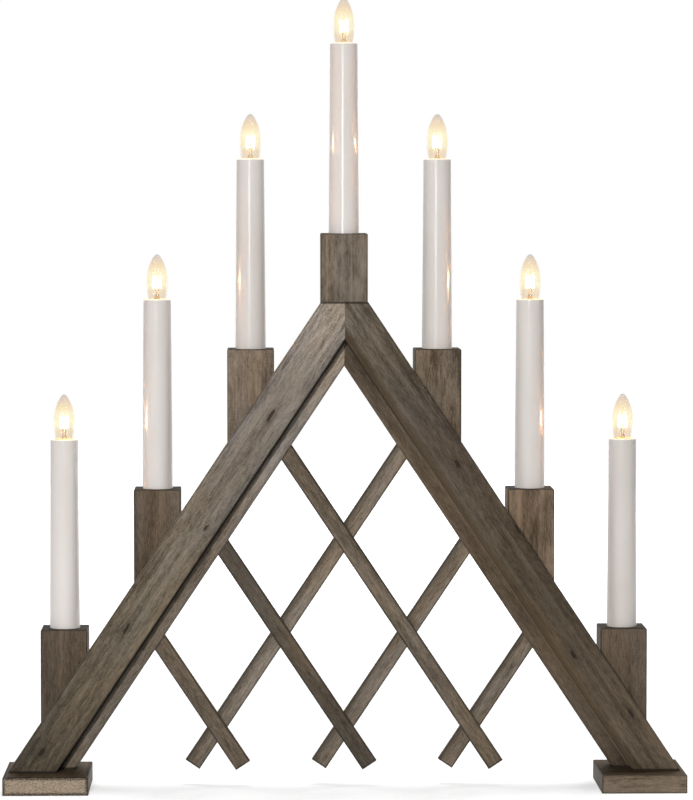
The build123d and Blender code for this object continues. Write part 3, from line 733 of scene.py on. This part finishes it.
# screw caps with a rolled thread
capLook = {
    "radius": 4.72 * mm, "root": 4.3 * mm, "wall": 0.25 * mm, "stepsPerTurn": 40,
    "pitch": 1.814 * mm, "turns": 3.4, "waveParts": 6, "threadWeld": 0.01 * mm,
    "top": -4.3 * mm, "threadTop": -5.4 * mm, "collarDrop": 0.2 * mm, "collarLap": 0.9 * mm,
    "bottom": -12.4 * mm, "tip": 3.2 * mm, "skirtLap": 1.9 * mm, "bead": 0.15 * mm, "beadRise": 1.2 * mm,
    "cone": 0.8 * mm, "coneInside": 1.0 * mm,
    "brass": ((0.68, 0.52, 0.28), (0.5, 0.36, 0.17), 500.0, (0.2, 0.35), 1.0),
}
capBrass = plainFinish("capBrass", *capLook["brass"])


def addThread(mesh, start):
    look = capLook
    rise = look["radius"] - look["root"]
    parts = look["waveParts"]
    wave = [(look["root"] + rise * (0.5 - 0.5 * cos(2 * pi * part / parts)),
             start + look["pitch"] * part / parts) for part in range(parts + 1)]
    verts, edges = profileLoop(mesh, wave)
    steps = round(look["stepsPerTurn"] * look["turns"])
    bmesh.ops.spin(mesh, geom=verts + edges, cent=(0, 0, 0), axis=(0, 0, 1), angle=2 * pi * look["turns"],
                   steps=steps, dvec=(0, 0, look["pitch"] * look["turns"] / steps), use_merge=False,
                   use_duplicate=False)
    bmesh.ops.remove_doubles(mesh, verts=mesh.verts, dist=look["threadWeld"])
    bmesh.ops.recalc_face_normals(mesh, faces=mesh.faces)
    bmesh.ops.solidify(mesh, geom=mesh.faces[:], thickness=look["wall"])


def makeCap(number):
    look = capLook
    radius, root, tip = look["radius"], look["root"], look["tip"]
    inside = root - look["wall"]
    start = look["threadTop"] - look["turns"] * look["pitch"]
    collarEnd = look["threadTop"] - look["collarLap"]
    skirtTop = start + look["skirtLap"]
    bottom = look["bottom"]
    collar = ((inside, look["top"]), (radius, look["top"]), (radius, look["threadTop"] - look["collarDrop"]),
              (root, collarEnd), (inside, collarEnd))
    skirt = ((root, skirtTop), (root + look["bead"], start + look["beadRise"]),
             (root, bottom + look["cone"]), (tip, bottom), (tip - look["wall"], bottom),
             (inside, bottom + look["coneInside"]), (inside, skirtTop))
    mesh = bmesh.new()
    addThread(mesh, start)
    for ring in (collar, skirt):
        addTurned(mesh, ring, look["stepsPerTurn"], close=True)
    cap = finishPiece(mesh, f"bulbCap{number}", candleAxis(number), [capBrass])
    markSharp(cap)
    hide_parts(f"bulb_cap_{number}")
    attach(cap, f"bulb_{number}")


for number in numbers:
    makeGlass(number)
    makeFilament(number)
    makeCap(number)
print("bulbs made")


# white floor, with the object's shadow left in
floorLook = {
    "size": 6.0, "cells": 8, "tint": 0.45, "white": 0.9,
    "nearWhite": 0.55, "nearReach": (0.35, 1.2),  # less white near the object, where its shadow falls
    "throughGlass": 1.0,
}


def makeFloor():
    look = floorLook
    mesh = bmesh.new()
    bmesh.ops.create_grid(mesh, x_segments=look["cells"], y_segments=look["cells"], size=look["size"])
    material, tree = newTree("paleFloor")
    path = put(tree, "ShaderNodeLightPath").outputs
    away = vectorMath(tree, "LENGTH", put(tree, "ShaderNodeTexCoord").outputs["Object"])
    white = ranged(tree, away, *look["nearReach"], look["nearWhite"], look["white"], True)
    toEye = combine(tree, path["Is Camera Ray"], white, "MULTIPLY")
    toGloss = combine(tree, path["Is Glossy Ray"], look["white"], "MULTIPLY")
    matt = put(tree, "ShaderNodeBsdfDiffuse", {"Color": colour((1.0, 1.0, 1.0), look["tint"])})
    glow = put(tree, "ShaderNodeEmission", {"Strength": combine(tree, toEye, toGloss)})
    both = put(tree, "ShaderNodeAddShader", {0: matt.outputs[0], 1: glow.outputs[0]})
    even = put(tree, "ShaderNodeEmission", {"Strength": look["throughGlass"]})
    closeTree(tree, blended(tree, path["Is Transmission Ray"], both, even))
    floor = finishPiece(mesh, "paleFloor", Vector((0, 0, 0)), [material], smooth=False)


# pale room, white to the eye
roomLook = {
    "ambient": (0.3, 0.16),  # from the left, from the right
    "dim": 0.3, "backdrop": (0.45, 0.8),  # in gloss and glass it whitens toward the back
}


def makeWorld():
    look = roomLook
    world = bpy.data.worlds.new("paleRoom")
    scene.world = world
    world.use_nodes = True
    tree = world.node_tree
    tree.nodes.clear()
    toward = split(tree, put(tree, "ShaderNodeTexCoord").outputs["Generated"])
    path = put(tree, "ShaderNodeLightPath").outputs
    soft = ranged(tree, toward["X"], -1.0, 1.0, *look["ambient"])
    backdrop = ranged(tree, toward["Y"], *look["backdrop"], look["dim"], 1.0, True)
    mirrored = combine(tree, path["Is Glossy Ray"], path["Is Transmission Ray"], "MAXIMUM")
    strength = combine(tree, soft, combine(tree, backdrop, mirrored, "MULTIPLY"), "MAXIMUM")
    strength = combine(tree, strength, path["Is Camera Ray"], "MAXIMUM")
    sky = put(tree, "ShaderNodeBackground", {"Color": (1, 1, 1, 1), "Strength": strength})
    put(tree, "ShaderNodeOutputWorld", {"Surface": sky.outputs[0]})


boxLook = {
    "keyBox": {"at": (-0.42, -2.42, 0.82), "size": (0.13, 0.13), "power": 42.8, "hiddenFrom": ("glossy",)},
    "stripBox": {"at": (-0.48, -2.45, 0.48), "size": (0.42, 0.32), "power": 5.7},  # shows in the gloss
    "backBox": {"at": (1.2, 2.3, 0.8), "size": (1.0, 1.0), "power": 54.0,
                "hiddenFrom": ("camera", "glossy", "transmission")},
    "topBox": {"at": (0.15, 0.35, 2.6), "size": (1.0, 1.0), "power": 55.0,
               "hiddenFrom": ("camera", "glossy", "transmission")},
}


def makeSoftbox(name, at, size, power, hiddenFrom=()):
    lamp = bpy.data.lights.new(name, "AREA")
    lamp.shape = "RECTANGLE"
    lamp.size, lamp.size_y = size
    lamp.energy = power
    holder = bpy.data.objects.new(name, lamp)
    scene.collection.objects.link(holder)
    low, high = cadBox
    toward = (low + high) / 2 - Vector(at)
    holder.location = at
    holder.rotation_euler = toward.to_track_quat("-Z", "Y").to_euler()
    for ray in hiddenFrom:
        setattr(holder, f"visible_{ray}", False)


glowLook = {
    "height": 12.0 * mm, "radius": 2.5 * mm,
    "lamp": {"power": 0.064, "tint": (1.0, 0.42, 0.12), "inGloss": False},
    "glint": {"power": 0.46, "tint": (1.0, 0.73, 0.37), "inGloss": True},  # only in the gloss of the tubes
}


def makeBulbLight(number, kind):
    look = glowLook[kind]
    name = f"bulb{kind.capitalize()}{number}"
    lamp = bpy.data.lights.new(name, "POINT")
    lamp.energy = look["power"]
    lamp.color = look["tint"]
    lamp.shadow_soft_size = glowLook["radius"]
    holder = bpy.data.objects.new(name, lamp)
    holder.location = candleAxis(number) + Vector((0, 0, glowLook["height"]))
    holder.visible_camera = False
    holder.visible_transmission = False
    holder.visible_diffuse = not look["inGloss"]
    holder.visible_glossy = look["inGloss"]
    scene.collection.objects.link(holder)


makeFloor()
makeWorld()
for name, look in boxLook.items():
    makeSoftbox(name, **look)
for number in numbers:
    makeBulbLight(number, "lamp")
    makeBulbLight(number, "glint")

cameraLook = {
    "at": (-0.06, -2.5, 0.409), "tilt": -0.05717, "pan": 0.02457,
    "focalPixels": 3667.4, "longSide": 800, "sensor": 36.0, "reach": 50.0,
}
lens = bpy.data.cameras.new("photoView")
lens.sensor_width = cameraLook["sensor"]
lens.lens = cameraLook["focalPixels"] / cameraLook["longSide"] * lens.sensor_width
lens.clip_end = cameraLook["reach"]
view = bpy.data.objects.new("photoView", lens)
view.location = cameraLook["at"]
view.rotation_euler = (pi / 2 + cameraLook["tilt"], 0.0, -cameraLook["pan"])
scene.collection.objects.link(view)
scene.camera = view
print("stage set")
